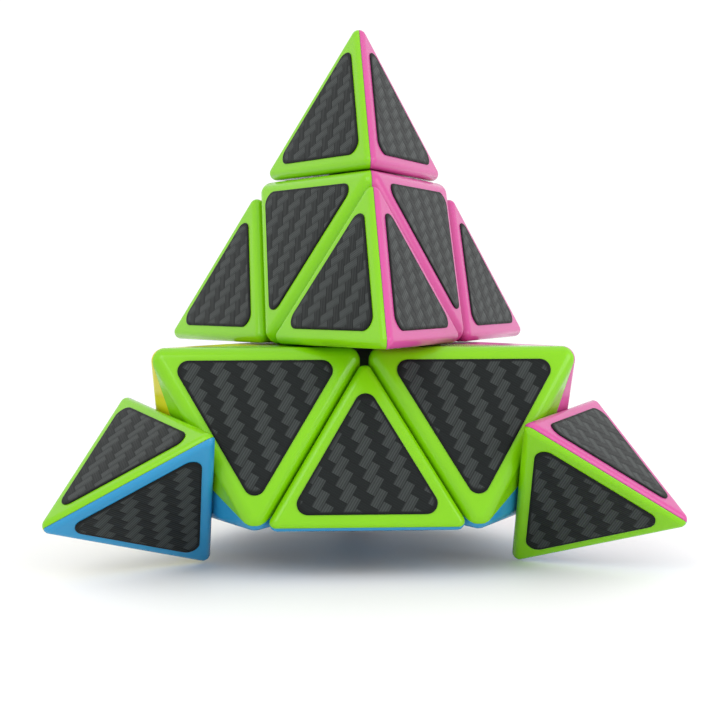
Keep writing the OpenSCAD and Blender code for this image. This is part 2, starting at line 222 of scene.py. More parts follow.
class Wire:
    """A socket whose arithmetic adds Math nodes to its tree."""

    def __init__(self, nodes, socket):
        self.nodes = nodes
        self.socket = socket

    def math(self, operation, *operands):
        settings = {"operation": operation}
        return self.nodes.add("ShaderNodeMath", settings, dict(enumerate(operands)))

    def __add__(self, other):
        return self.math("ADD", self, other)

    def __radd__(self, other):
        return self.math("ADD", other, self)

    def __sub__(self, other):
        return self.math("SUBTRACT", self, other)

    def __rsub__(self, other):
        return self.math("SUBTRACT", other, self)

    def __mul__(self, other):
        return self.math("MULTIPLY", self, other)

    def __rmul__(self, other):
        return self.math("MULTIPLY", other, self)

    def __truediv__(self, other):
        return self.math("DIVIDE", self, other)

    def __lt__(self, other):
        return self.math("LESS_THAN", self, other)

    def floor(self):
        return self.math("FLOOR", self)

    def fraction(self):
        return self.math("FRACT", self)

    def wrapped(self, span):
        return self.math("WRAP", self, span, 0)

    def sine(self):
        return self.math("SINE", self)

    def cosine(self):
        return self.math("COSINE", self)

    def power(self, exponent):
        return self.math("POWER", self, exponent)

    def clamped(self):
        return self.math("MAXIMUM", self.math("MINIMUM", self, 1), 0)


class Nodes:
    """Builds a node tree, one call for each node."""

    def __init__(self, tree):
        self.tree = tree

    def add(self, kind, settings=None, sockets=None, output=0):
        """Adds a node: its settings first, then its sockets; gives the wire of one output."""
        node = self.tree.nodes.new(kind)
        for name, value in (settings or {}).items():
            setattr(node, name, value)
        for name, value in (sockets or {}).items():
            self.plug(value, node.inputs[name])
        return Wire(self, node.outputs[output]) if len(node.outputs) else node

    def plug(self, value, socket):
        """Links a wire to a socket, or sets the socket's own value."""
        if isinstance(value, Wire):
            self.tree.links.new(value.socket, socket)
        else:
            socket.default_value = value

    def several(self, wire):
        """Every output of the node that a wire comes from."""
        return [Wire(self, socket) for socket in wire.socket.node.outputs]

    def blend(self, factor, first, second):
        """Mix of two colours."""
        settings = {"data_type": "RGBA"}
        return self.add("ShaderNodeMix", settings, {0: factor, 6: first, 7: second}, 2)

    def vector(self, operation, *operands, output=0):
        settings = {"operation": operation}
        return self.add("ShaderNodeVectorMath", settings, dict(enumerate(operands)), output)

    def noise(self, coordinates, scale, detail=2.0, roughness=0.5):
        sockets = {"Vector": coordinates, "Scale": scale, "Detail": detail, "Roughness": roughness}
        return self.add("ShaderNodeTexNoise", None, sockets)


def rgba(tone):
    return (tone[0], tone[1], tone[2], 1)


def shaded(tone, factor):
    """A colour made lighter or darker."""
    return (min(tone[0] * factor, 1), min(tone[1] * factor, 1), min(tone[2] * factor, 1), 1)


def new_material(name):
    """An empty material and the builder of its nodes."""
    material = bpy.data.materials.new(name)
    material.use_nodes = True
    material.node_tree.nodes.clear()
    return material, Nodes(material.node_tree)


def finish_material(nodes, constants, maps, height, distance):
    """Principled shader with constants, the maps that vary, and a bump of that height."""
    relief = {"Strength": 1.0, "Distance": distance, "Height": height}
    bump = nodes.add("ShaderNodeBump", None, relief)
    sockets = {**constants, **maps, "Normal": bump}
    surface = nodes.add("ShaderNodeBsdfPrincipled", None, sockets)
    nodes.add("ShaderNodeOutputMaterial", None, {"Surface": surface})


def millimetres(nodes):
    """Object coordinates in millimetres."""
    place = nodes.several(nodes.add("ShaderNodeTexCoord"))[3]
    scaled = nodes.vector("SCALE", place)
    scaled.socket.node.inputs["Scale"].default_value = 1 / MM
    return scaled


def moulded_plastic(name, tone):
    """Glossy, slightly translucent moulded plastic with a faint flow pattern and fine haze."""
    material, nodes = new_material(name)
    place = millimetres(nodes)
    waves = nodes.noise(place, 0.09, 2)
    flow = nodes.noise(place, 0.035, 3, 0.6)
    haze = nodes.noise(place, 1.6, 4, 0.65)
    grain = nodes.noise(place, 5.0, 2)
    base = nodes.blend(flow, shaded(tone, 0.93), shaded(tone, 1.07))
    roughness = 0.13 + 0.14 * haze
    height = waves * 0.05 + haze * 0.0035 + grain * 0.0008
    constants = {
        "IOR": 1.5,
        "Subsurface Weight": 0.18,
        "Subsurface Radius": (1.0, 1.0, 0.6),
        "Subsurface Scale": 0.0012,
        "Specular IOR Level": 0.35,
    }
    maps = {"Base Color": base, "Roughness": roughness}
    finish_material(nodes, constants, maps, height, MM)
    return material


def frame_plastic(tone):
    """Dark, matt moulded plastic with a fine spark texture."""
    material, nodes = new_material("frame_plastic")
    place = millimetres(nodes)
    flow = nodes.noise(place, 0.08, 3)
    spark = nodes.noise(place, 3.2, 3, 0.6)
    base = nodes.blend(flow, shaded(tone, 0.8), shaded(tone, 1.3))
    roughness = 0.42 + 0.2 * spark
    maps = {"Base Color": base, "Roughness": roughness}
    finish_material(nodes, {"IOR": 1.5}, maps, spark * 0.012 + flow * 0.03, MM)
    return material


def plated_steel(tone):
    """Zinc-plated steel with drawn marks and dull patches."""
    material, nodes = new_material("plated_steel")
    place = millimetres(nodes)
    patches = nodes.noise(place, 0.5, 3, 0.6)
    drawn = nodes.noise(nodes.vector("MULTIPLY", place, (4, 4, 0.6)), 2.0, 3)
    base = nodes.blend(patches, shaded(tone, 0.82), shaded(tone, 1.1))
    roughness = 0.24 + 0.2 * patches
    maps = {"Base Color": base, "Roughness": roughness}
    finish_material(nodes, {"Metallic": 1.0}, maps, drawn * 0.006, MM)
    return material


def carbon_film(settings):
    """Embossed vinyl with a two-by-two twill: tows with fine threads, and a dark cut rim; the sheen
    of the tows and the shade on their crowns and threads are painted into the colour.
    """
    material, nodes = new_material("carbon_film")
    sheet = nodes.add("ShaderNodeAttribute", {"attribute_name": "weave"}, None, "Vector")
    turn = nodes.add("ShaderNodeAttribute", {"attribute_name": "weave_turn"}, None, "Fac")
    rim = nodes.add("ShaderNodeAttribute", {"attribute_name": "rim"}, None, "Fac")
    across, up, _ = nodes.several(nodes.add("ShaderNodeSeparateXYZ", None, {"Vector": sheet}))
    along_warp = (across * turn.cosine() + up * turn.sine()) / settings.tow
    along_weft = (up * turn.cosine() - across * turn.sine()) / settings.tow

    # Each tow passes over two and under two, one step further on in the next tow
    step = (along_warp.floor() - along_weft.floor() + 0.5).wrapped(4).floor()
    warp_over = step < 1.5
    in_warp = step + along_warp.fraction()
    in_weft = 3 - step + along_weft.fraction()
    warp_arch = (in_warp * (pi / 2)).sine()
    weft_arch = (in_weft * (pi / 2)).sine()
    warp_crown = (along_weft.fraction() * pi).sine()
    weft_crown = (along_warp.fraction() * pi).sine()
    warp_thread = (along_weft * (2 * pi * settings.threads)).sine()
    weft_thread = (along_warp * (2 * pi * settings.threads)).sine()
    arch = warp_over * warp_arch + (1 - warp_over) * weft_arch
    crown = warp_over * warp_crown + (1 - warp_over) * weft_crown
    thread = warp_over * warp_thread + (1 - warp_over) * weft_thread

    metric = nodes.vector("SCALE", sheet)
    metric.socket.node.inputs["Scale"].default_value = 1 / MM
    cloud = nodes.noise(metric, 0.35, 3, 0.6)
    speck = nodes.noise(metric, 6.0, 2)
    # Painted sheen: tows running one way get the lighter colour and tows running the other way the
    # darker one, in a real twill pattern
    tows = nodes.blend(warp_over, rgba(settings.twill_shade_tow), rgba(settings.twill_sheen_tow))
    # Painted shade and highlights: each tow darkens towards its edges and its threads make painted
    # highlight stripes; the cloud adds random tone
    shade = (0.4 + 0.4 * crown.power(0.5) + 0.25 * thread + 0.3 * (cloud - 0.5)).clamped()
    lit = nodes.blend(shade, rgba(settings.rim_and_shade_tone), tows)
    base = nodes.blend((rim * 1.4).clamped(), lit, rgba(settings.rim_and_shade_tone))
    roughness = 0.34 + 0.14 * speck + 0.08 * (1 - crown) + 0.1 * rim
    height = 0.03 * arch.power(0.6) * crown.power(0.7) + 0.01 * thread + 0.004 * speck
    constants = {"IOR": 1.5, "Specular IOR Level": 0.16}
    maps = {"Base Color": base, "Roughness": roughness}
    finish_material(nodes, constants, maps, height, MM)
    return material


def floor_finish(tone):
    """Pale matt floor."""
    material, nodes = new_material("pale_floor")
    place = nodes.several(nodes.add("ShaderNodeTexCoord"))[3]
    cloud = nodes.noise(place, 3.0, 3)
    grain = nodes.noise(place, 900.0, 2)
    base = nodes.blend(cloud, shaded(tone, 0.99), shaded(tone, 1.01))
    maps = {"Base Color": base, "Roughness": 0.5 + 0.1 * grain}
    finish_material(nodes, {"IOR": 1.45}, maps, grain * 0.01, MM)
    return material


# ---- places of the pieces ----


def turned(angle, axis=UP):
    """A turn about an axis, in degrees."""
    return Matrix.Rotation(radians(angle), 4, axis)


CORNERS = {
    "top": turned(LAYER_TURN),
    "left": turned(-120, BACK_AXIS),
    "right": turned(120, BACK_AXIS),
    "back": turned(120, LEFT_AXIS),
}


def lower_edge(turn):
    """Places a lower edge piece: 0 is the front one, 120 the right one and 240 the left one."""
    return turned(turn - 90) @ turned(90 + degrees(HALF_DIHEDRAL), Vector((0, 1, 0)))


def edge_place(name):
    """Places an edge piece by its name."""
    turn = EDGE_TURNS[name.removeprefix("upper_")]
    if name.startswith("upper_"):
        return turned(turn + LAYER_TURN) @ turned(-120, BACK_AXIS) @ lower_edge(0)
    return lower_edge(turn)


def tip_place(corner):
    """Places a tip with its own stored turn."""
    return CORNERS[corner] @ turned(TIP_TURNS[corner])


def body_of_node(node):
    """The moving body that a CAD node belongs to."""
    bodies = frame["record"]["behaviour"]["bodies"]
    return next(body for body, nodes in bodies.items() if node in nodes)


# ---- blocks: convex solids in millimetres about the corner's axis or the edge's ----


def outward(azimuth, lift):
    """A unit vector at an azimuth in degrees and a lift in radians."""
    return Vector((cos(radians(azimuth)) * cos(lift), sin(radians(azimuth)) * cos(lift), sin(lift)))


class Block:
    """A regular tetrahedron or octahedron: its centre, its faces' normals and its inradius."""

    def __init__(self, centre, normals, inradius, half_angle, radius):
        self.centre = Vector(centre)
        self.normals = normals
        self.inradius = inradius
        self.half_angle = half_angle
        self.radius = radius

    def solid(self, inset=0.0):
        """The sharp solid, or a smaller one inset on every face."""
        mesh = bmesh.new()
        bmesh.ops.create_cube(mesh, size=8 * self.inradius, matrix=Matrix.Translation(self.centre))
        for normal in self.normals:
            cut_away(mesh, self.centre + normal * (self.inradius - inset), normal)
        bmesh.ops.recalc_face_normals(mesh, faces=mesh.faces)
        return mesh

    def score(self, mesh, steps):
        """Lines along each edge where its rounding will bend, and one just inside it."""
        reach = self.radius / tan(self.half_angle)
        angles = [(pi / 2 - self.half_angle) * step / steps for step in range(steps)]
        distances = [reach - self.radius * tan(angle) for angle in angles] + [reach + 0.3]
        for normal in self.normals:
            for distance in distances:
                depth = distance * sin(2 * self.half_angle)
                split(mesh, self.centre + normal * (self.inradius - depth), normal)


def everything(mesh):
    return mesh.verts[:] + mesh.edges[:] + mesh.faces[:]


def split(mesh, point, normal):
    """Cuts a mesh's faces along a plane and keeps both sides."""
    bmesh.ops.bisect_plane(
        mesh, geom=everything(mesh), dist=1e-5, plane_co=point, plane_no=normal
    )


def cut_away(mesh, point, normal):
    """Cuts off what lies beyond a plane, and closes the cut."""
    bmesh.ops.bisect_plane(
        mesh, geom=everything(mesh), dist=1e-5, plane_co=point, plane_no=normal, clear_outer=True
    )
    open_edges = [edge for edge in mesh.edges if edge.is_boundary]
    bmesh.ops.holes_fill(mesh, edges=open_edges, sides=0)


def tip_block(settings):
    layer, half_gap = layer_and_gap(settings)
    faces = [outward(azimuth, FACE_LIFT) for azimuth in (0, 120, 240)]
    radius = settings.tetra_radius / MM
    return Block((0, 0, 6 * layer), [-UP, *faces], layer - half_gap, HALF_DIHEDRAL, radius)


def axial_block(settings):
    layer, half_gap = layer_and_gap(settings)
    faces = [outward(azimuth, FACE_LIFT) for azimuth in (0, 120, 240)]
    normals = [UP, -UP, *faces, *[-normal for normal in faces]]
    inradius = 2 * layer - half_gap
    radius = settings.octa_radius / MM
    return Block((0, 0, 3 * layer), normals, inradius, pi / 2 - HALF_DIHEDRAL, radius)


def edge_block(settings):
    layer, half_gap = layer_and_gap(settings)
    normals = [outward(azimuth, HALF_DIHEDRAL) for azimuth in (0, 180)]
    normals += [outward(azimuth, -HALF_DIHEDRAL) for azimuth in (90, 270)]
    height = 2 * layer / sin(HALF_DIHEDRAL)
    radius = settings.tetra_radius / MM
    return Block((0, 0, height), normals, layer - half_gap, HALF_DIHEDRAL, radius)


# ---- turning sharp blocks into shells ----


def rounding_tree():
    """Geometry nodes that push each point out from a smaller copy of the same block."""
    tree = bpy.data.node_groups.new("Rounded Block", "GeometryNodeTree")
    inputs = tree.interface
    inputs.new_socket("Geometry", in_out="INPUT", socket_type="NodeSocketGeometry")
    for name in ("Edge Radius", "Inradius"):
        inputs.new_socket(name, in_out="INPUT", socket_type="NodeSocketFloat")
    inputs.new_socket("Centre", in_out="INPUT", socket_type="NodeSocketVector")
    inputs.new_socket("Geometry", in_out="OUTPUT", socket_type="NodeSocketGeometry")
    nodes = Nodes(tree)
    geometry, radius, inradius, centre, _ = nodes.several(nodes.add("NodeGroupInput"))
    ratio = (inradius - radius) / inradius
    scale = nodes.add("ShaderNodeCombineXYZ", None, {0: ratio, 1: ratio, 2: ratio})
    shift = nodes.vector("SUBTRACT", centre, nodes.vector("MULTIPLY", centre, scale))
    sockets = {"Geometry": geometry, "Translation": shift, "Scale": scale}
    core = nodes.add("GeometryNodeTransform", None, sockets)
    nearest = nodes.add("GeometryNodeProximity", {"target_element": "FACES"}, {0: core}, "Position")
    away = nodes.vector("SUBTRACT", nodes.add("GeometryNodeInputPosition"), nearest)
    push = nodes.add(
        "ShaderNodeVectorMath", {"operation": "SCALE"},
        {0: nodes.vector("NORMALIZE", away), "Scale": radius},
    )
    sockets = {"Geometry": geometry, "Position": nodes.vector("ADD", nearest, push)}
    rounded = nodes.add("GeometryNodeSetPosition", None, sockets)
    nodes.add("NodeGroupOutput", None, {0: rounded})
    return tree


def temporary(mesh, name):
    """A scene object for a bmesh, which is freed."""
    data = bpy.data.meshes.new(name)
    mesh.to_mesh(data)
    mesh.free()
    made = bpy.data.objects.new(name, data)
    bpy.context.scene.collection.objects.link(made)
    return made


def applied(made):
    """The mesh of an object with its modifiers applied."""
    bpy.context.view_layer.update()
    evaluated = made.evaluated_get(bpy.context.evaluated_depsgraph_get())
    return bpy.data.meshes.new_from_object(evaluated)


def drop(*objects):
    """Removes helper objects with their meshes."""
    for helper in objects:
        data = helper.data
        bpy.data.objects.remove(helper)
        bpy.data.meshes.remove(data)


def add_tree(made, tree, values):
    """Adds a geometry nodes modifier and sets its named inputs by their identifiers."""
    modifier = made.modifiers.new(tree.name, "NODES")
    modifier.node_group = tree
    identifiers = {item.name: item.identifier for item in tree.interface.items_tree}
    for name, value in values.items():
        modifier[identifiers[name]] = value
    return modifier


def rounded(block, settings, tree):
    """A bmesh of the block with every edge rounded."""
    mesh = block.solid()
    block.score(mesh, settings.arc_steps)
    made = temporary(mesh, "block")
    values = {"Edge Radius": block.radius, "Inradius": block.inradius, "Centre": block.centre}
    add_tree(made, tree, values)
    data = applied(made)
    drop(made)
    mesh = bmesh.new()
    mesh.from_mesh(data)
    bpy.data.meshes.remove(data)
    return mesh


def seam_planes(half_angle, seam):
    """The two planes that bound a share of the space about +Z, centred on azimuth 0."""
    apex = Vector((seam / 2 / sin(half_angle), 0, 0))
    return [
        (apex, Vector((sin(half_angle), side * cos(half_angle), 0))) for side in (-1, 1)
    ]


def roll_seams(mesh, planes, settings):
    """Rolls the surface inwards along the planes where it will be cut."""
    width = settings.seam_width / MM
    depths = {0: 1.0, 0.35 * width: 0.4, width: 0.0}
    for point, inward in planes:
        for depth in depths:
            split(mesh, point + inward * depth, inward)
    mesh.normal_update()
    moves = {}
    for vert in mesh.verts:
        nearest = min(abs(inward.dot(vert.co - point)) for point, inward in planes)
        for depth, amount in depths.items():
            if abs(nearest - depth) < 2e-4:
                moves[vert] = vert.normal * (amount * settings.seam_drop / MM)
    for vert, move in moves.items():
        vert.co -= move


def keep_share(mesh, planes):
    """Keeps what lies between the seam planes, and closes it with flat faces."""
    outside = [
        face for face in mesh.faces
        if any(inward.dot(face.calc_center_median() - point) < 0 for point, inward in planes)
    ]
    bmesh.ops.delete(mesh, geom=outside, context="FACES")
    near = 0.02
    rims = []
    for point, inward in planes:
        rims.append({v for v in mesh.verts if abs(inward.dot(v.co - point)) < near})
    open_edges = [edge for edge in mesh.edges if edge.is_boundary]
    if len(planes) == 1:
        bmesh.ops.contextual_create(mesh, geom=open_edges)
        return
    shared = rims[0] & rims[1] & {v for edge in open_edges for v in edge.verts}
    top = max(shared, key=lambda vert: vert.co.z)
    bottom = min(shared, key=lambda vert: vert.co.z)
    spine = mesh.edges.new((top, bottom))
    for rim in rims:
        edges = [e for e in open_edges if e.verts[0] in rim and e.verts[1] in rim]
        bmesh.ops.contextual_create(mesh, geom=[*edges, spine])


def ball(radius, name):
    """A fine ball about the centre."""
    mesh = bmesh.new()
    bmesh.ops.create_uvsphere(mesh, u_segments=96, v_segments=48, radius=radius)
    return temporary(mesh, name)


def plug_for_hole(radius, height):
    """A round plug along +Z from the centre."""
    mesh = bmesh.new()
    place = Matrix.Translation((0, 0, height / 2))
    bmesh.ops.create_cone(
        mesh, cap_ends=True, segments=72, radius1=radius, radius2=radius, depth=height, matrix=place
    )
    return temporary(mesh, "plug")


def cut_by(made, cutter):
    """Takes the cutter's shape out of an object."""
    modifier = made.modifiers.new(cutter.name, "BOOLEAN")
    modifier.operation = "DIFFERENCE"
    modifier.solver = "EXACT"
    modifier.object = cutter


def shell_mesh(block, planes, hole, settings, tree):
    """One hollow share of a rounded block, with its skirt around the core and its hole."""
    mesh = rounded(block, settings, tree)
    roll_seams(mesh, planes, settings)
    keep_share(mesh, planes)
    bmesh.ops.recalc_face_normals(mesh, faces=mesh.faces)
    shell = temporary(mesh, "shell")
    wall = settings.wall / MM
    clearance = (settings.race + settings.gap / 2) / MM
    cavity = temporary(block.solid(wall), "cavity")
    skirt = ball(clearance + wall, "skirt")
    race = ball(clearance, "race")
    cut_by(cavity, skirt)
    cutters = [cavity, race]
    if hole:
        cutters.append(plug_for_hole(*hole))
    for cutter in cutters:
        cut_by(shell, cutter)
    data = applied(shell)
    drop(shell, skirt, *cutters)
    mesh = bmesh.new()
    mesh.from_mesh(data)
    bmesh.ops.remove_doubles(mesh, verts=mesh.verts, dist=1e-4)
    mesh.to_mesh(data)
    mesh.free()
    return data


def smooth(data, angle=32):
    """Smooth shading with creases where faces meet sharply."""
    data.shade_smooth()
    data.set_sharp_from_angle(angle=radians(angle))


def place_shell(data, matrix, node, material):
    """A finished shell in its place, which stands for its CAD node."""
    placed = data.copy()
    placed.name = "moulded_" + node
    placed.transform(matrix @ Matrix.Scale(MM, 4))
    placed.materials.clear()
    placed.materials.append(material)
    made = bpy.data.objects.new("moulded_" + node, placed)
    bpy.context.scene.collection.objects.link(made)
    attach(made, body_of_node(node))
    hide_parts(node)
    return made


def plastics(settings):
    """The four coloured plastics, made once."""
    made = {}
    for tone in ("lime", "pink", "yellow", "blue"):
        name = "moulded_" + tone
        known = bpy.data.materials.get(name)
        made[tone] = known or moulded_plastic(name, getattr(settings, tone))
    return made


def layer_and_gap(settings):
    """A twelfth of the puzzle's height, and half of the gap between pieces, in millimetres."""
    return settings.side / MM * sqrt(2 / 3) / 12, settings.gap / MM / 2


def link_finish(node, material):
    """Gives a CAD node a better finish."""
    node.data.materials.clear()
    node.data.materials.append(material)


# ---- operators ----


class PUZZLE_OT_axial_shells(bpy.types.Operator):
    """Makes the three coloured shells of each octahedral axial piece"""

    bl_idname = "puzzle.axial_shells"
    bl_label = "Axial shells"

    def execute(self, context):
        settings = context.scene.puzzle_shells
        layer, _ = layer_and_gap(settings)
        block = axial_block(settings)
        planes = seam_planes(radians(60), settings.seam / MM)
        hole = (settings.hub_hole / MM, 8 * layer)
        data = shell_mesh(block, planes, hole, settings, rounding_tree())
        smooth(data)
        materials = plastics(settings)
        for corner, colours in CORNER_COLOURS.items():
            for azimuth, tone in colours.items():
                matrix = CORNERS[corner] @ turned(azimuth)
                node = f"{corner}_axial_shell_{tone}"
                place_shell(data, matrix, node, materials[tone])
        return {"FINISHED"}


class PUZZLE_OT_tip_shells(bpy.types.Operator):
    """Makes the three coloured shells of each tip"""

    bl_idname = "puzzle.tip_shells"
    bl_label = "Tip shells"

    def execute(self, context):
        settings = context.scene.puzzle_shells
        layer, _ = layer_and_gap(settings)
        block = tip_block(settings)
        planes = seam_planes(radians(60), settings.seam / MM)
        hole = (settings.spigot_hole / MM, 5.6 * layer)
        data = shell_mesh(block, planes, hole, settings, rounding_tree())
        smooth(data)
        materials = plastics(settings)
        for corner, colours in CORNER_COLOURS.items():
            for azimuth, tone in colours.items():
                matrix = tip_place(corner) @ turned(azimuth)
                node = f"{corner}_tip_shell_{tone}"
                place_shell(data, matrix, node, materials[tone])
        return {"FINISHED"}


class PUZZLE_OT_edge_shells(bpy.types.Operator):
    """Makes the two coloured shells of each edge piece"""

    bl_idname = "puzzle.edge_shells"
    bl_label = "Edge shells"

    def execute(self, context):
        settings = context.scene.puzzle_shells
        block = edge_block(settings)
        planes = seam_planes(radians(90), settings.seam / MM)[:1]
        data = shell_mesh(block, planes, None, settings, rounding_tree())
        smooth(data)
        materials = plastics(settings)
        for name, colours in EDGE_COLOURS.items():
            for half_turn, tone in colours.items():
                matrix = edge_place(name) @ turned(half_turn)
                node = f"{name}_edge_shell_{tone}"
                place_shell(data, matrix, node, materials[tone])
        return {"FINISHED"}


def on_face(azimuth, offset, settings):
    """A frame on a coloured face, whose -X points to the corner of the axis."""
    layer, half_gap = layer_and_gap(settings)
    height = (3 * layer - half_gap) * MM
    tilt = turned(90 - degrees(FACE_LIFT), Vector((0, 1, 0)))
    return turned(azimuth) @ tilt @ Matrix.Translation((offset, 0, height))


def sticker_frames(kind, names, settings):
    """Frames of all stickers of a kind on the named corners or edge pieces."""
    step = settings.side / 3 / sqrt(3)
    frames = []
    for name in names:
        if kind == "edge":
            tilt = turned(90 - degrees(HALF_DIHEDRAL), Vector((0, 1, 0)))
            layer, half_gap = layer_and_gap(settings)
            shift = Matrix.Translation((-step, 0, (3 * layer - half_gap) * MM))
            frames += [
                edge_place(name) @ turned(half) @ tilt @ shift @ turned(180) for half in (0, 180)
            ]
            continue
        for azimuth in CORNER_COLOURS[name]:
            if kind == "tip":
                frames.append(tip_place(name) @ on_face(azimuth, -2 * step, settings))
            else:
                frames.append(CORNERS[name] @ on_face(azimuth, -step, settings) @ turned(180))
    return frames


def weave_angle(matrix, lean):
    """Angle from a sticker's own X to its warp, for a twill line that leans so on the face."""
    normal = matrix.to_3x3() @ UP
    rise = UP - normal * UP.dot(normal)
    if rise.length < 0.1:
        rise = Vector((0, 1, 0))
    rise.normalize()
    right = rise.cross(normal)
    angle = radians(lean - 45)
    warp = matrix.to_3x3().inverted() @ (right * cos(angle) + rise * sin(angle))
    return atan2(warp.y, warp.x)


def stored_facing(nodes):
    """The way that each point was told to face."""
    kind = "GeometryNodeInputNamedAttribute"
    return nodes.add(kind, {"data_type": "QUATERNION"}, {"Name": "facing"})


def sticker_tree():
    """Geometry nodes that lay a soft-edged film triangle on each point."""
    tree = bpy.data.node_groups.new("Stickers", "GeometryNodeTree")
    inputs = tree.interface
    inputs.new_socket("Geometry", in_out="INPUT", socket_type="NodeSocketGeometry")
    for name in ("Side", "Corner Radius", "Thickness", "Rim"):
        inputs.new_socket(name, in_out="INPUT", socket_type="NodeSocketFloat")
    inputs.new_socket("Film", in_out="INPUT", socket_type="NodeSocketMaterial")
    inputs.new_socket("Geometry", in_out="OUTPUT", socket_type="NodeSocketGeometry")
    nodes = Nodes(tree)
    points, side, radius, thickness, rim, film, _ = nodes.several(nodes.add("NodeGroupInput"))
    outline = nodes.add(
        "GeometryNodeMeshCircle", {"fill_type": "NONE"}, {"Vertices": 3, "Radius": side / sqrt(3)}
    )
    outline = nodes.add(
        "GeometryNodeTransform", None, {"Geometry": outline, "Rotation": (0, 0, pi)}
    )
    outline = nodes.add("GeometryNodeMeshToCurve", None, {"Mesh": outline})
    outline = nodes.add(
        "GeometryNodeFilletCurve", {"mode": "POLY"},
        {"Curve": outline, "Radius": radius, "Count": CORNER_STEPS},
    )
    flat = nodes.add("GeometryNodeFillCurve", {"mode": "NGONS"}, {"Curve": outline})
    flat = nodes.add(
        "GeometryNodeStoreNamedAttribute", {"data_type": "FLOAT", "domain": "POINT"},
        {"Geometry": flat, "Name": "rim", "Value": 1.0},
    )
    under = nodes.add("GeometryNodeFlipFaces", None, {"Mesh": flat})

    # Straight up, then a small roll inwards, then the pressed-down rim
    film_body = flat
    top = True
    stages = ((0.6, 0.0), (0.25, 0.12), (0.15, 0.3), (0.0, 1.0))
    for rise, inset in stages:
        film_body = nodes.add(
            "GeometryNodeExtrudeMesh", {"mode": "FACES"},
            {
                "Mesh": film_body, "Selection": top, "Offset": (0, 0, 1),
                "Offset Scale": thickness * rise, "Individual": False,
            },
        )
        _, top, _ = nodes.several(film_body)
        if inset:
            inradius = side / (2 * sqrt(3))
            film_body = nodes.add(
                "GeometryNodeScaleElements", {"domain": "FACE"},
                {"Geometry": film_body, "Selection": top, "Scale": 1 - rim * inset / inradius},
            )
    film_body = nodes.add(
        "GeometryNodeStoreNamedAttribute", {"data_type": "FLOAT", "domain": "POINT"},
        {"Geometry": film_body, "Selection": top, "Name": "rim", "Value": 0.0},
    )
    whole = nodes.add("GeometryNodeJoinGeometry")
    join = whole.socket.node
    nodes.plug(film_body, join.inputs[0])
    nodes.plug(under, join.inputs[0])
    merging = {"Geometry": whole, "Distance": SAME_POINT}
    whole = nodes.add("GeometryNodeMergeByDistance", None, merging)
    whole = nodes.add(
        "GeometryNodeStoreNamedAttribute", {"data_type": "FLOAT_VECTOR", "domain": "POINT"},
        {"Geometry": whole, "Name": "weave", "Value": nodes.add("GeometryNodeInputPosition")},
    )
    facing = stored_facing(nodes)
    laid = nodes.add(
        "GeometryNodeInstanceOnPoints", None,
        {"Points": points, "Instance": whole, "Rotation": facing},
    )
    laid = nodes.add("GeometryNodeRealizeInstances", None, {"Geometry": laid})
    laid = nodes.add("GeometryNodeSetMaterial", None, {"Geometry": laid, "Material": film})
    nodes.add("NodeGroupOutput", None, {0: laid})
    return tree


def frame_points(frames, name, turns=None):
    """A mesh of points, each with its frame's turn and, for stickers, its weave's angle."""
    data = bpy.data.meshes.new(name)
    data.from_pydata([matrix.translation for matrix in frames], [], [])
    facing = data.attributes.new("facing", "QUATERNION", "POINT")
    for item, matrix in zip(facing.data, frames):
        item.value = matrix.to_quaternion()
    if turns:
        angles = data.attributes.new("weave_turn", "FLOAT", "POINT")
        for item, angle in zip(angles.data, turns):
            item.value = angle
    made = bpy.data.objects.new(name, data)
    bpy.context.scene.collection.objects.link(made)
    return made


def sticker_set(kind, names, side, lean, film, tree, context):
    """Stickers of one kind on the named pieces, as one mesh."""
    settings = context.scene.puzzle_stickers
    frames = sticker_frames(kind, names, context.scene.puzzle_shells)
    turns = [weave_angle(matrix, lean) for matrix in frames]
    made = frame_points(frames, "sticker_points", turns)
    values = {
        "Side": side, "Corner Radius": settings.radius, "Thickness": settings.thickness,
        "Rim": settings.rim, "Film": film,
    }
    add_tree(made, tree, values)
    data = applied(made)
    drop(made)
    return data


def joined(meshes, name):
    """One mesh from several, which are removed."""
    whole = bmesh.new()
    for data in meshes:
        whole.from_mesh(data)
    result = bpy.data.meshes.new(name)
    whole.to_mesh(result)
    whole.free()
    for data in meshes:
        bpy.data.meshes.remove(data)
    return result


def show(data, name, node, material):
    """A finished mesh that stands for a CAD node."""
    data.materials.clear()
    data.materials.append(material)
    made = bpy.data.objects.new(name, data)
    bpy.context.scene.collection.objects.link(made)
    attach(made, body_of_node(node))
    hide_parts(node)
    return made


class PUZZLE_OT_stickers(bpy.types.Operator):
    """Lays the carbon-weave stickers on every coloured face"""

    bl_idname = "puzzle.stickers"
    bl_label = "Stickers"

    def execute(self, context):
        settings = context.scene.puzzle_stickers
        film = carbon_film(settings)
        tree = sticker_tree()
        lower, upper = settings.lower_lean, settings.upper_lean
        axial, edge, tip = settings.axial_side, settings.edge_side, settings.tip_side
        lower_edges = list(EDGE_TURNS)
        upper_edges = ["upper_" + name for name in EDGE_TURNS]
        sets = {
            "lower_stickers": [
                ("axial", ["left", "right", "back"], axial, lower),
                ("edge", lower_edges, edge, lower),
            ],
            "upper_stickers": [
                ("axial", ["top"], axial, upper),
                ("edge", upper_edges, edge, upper),
            ],
            "top_tip_stickers": [("tip", ["top"], tip, upper)],
            "left_tip_stickers": [("tip", ["left"], tip, lower)],
            "right_tip_stickers": [("tip", ["right"], tip, lower)],
            "back_tip_stickers": [("tip", ["back"], tip, lower)],
        }
        for node, kinds in sets.items():
            meshes = [
                sticker_set(kind, names, side, lean, film, tree, context)
                for kind, names, side, lean in kinds
            ]
            data = joined(meshes, "film_" + node)
            smooth(data, 40)
            show(data, "film_" + node, node, film)
        return {"FINISHED"}


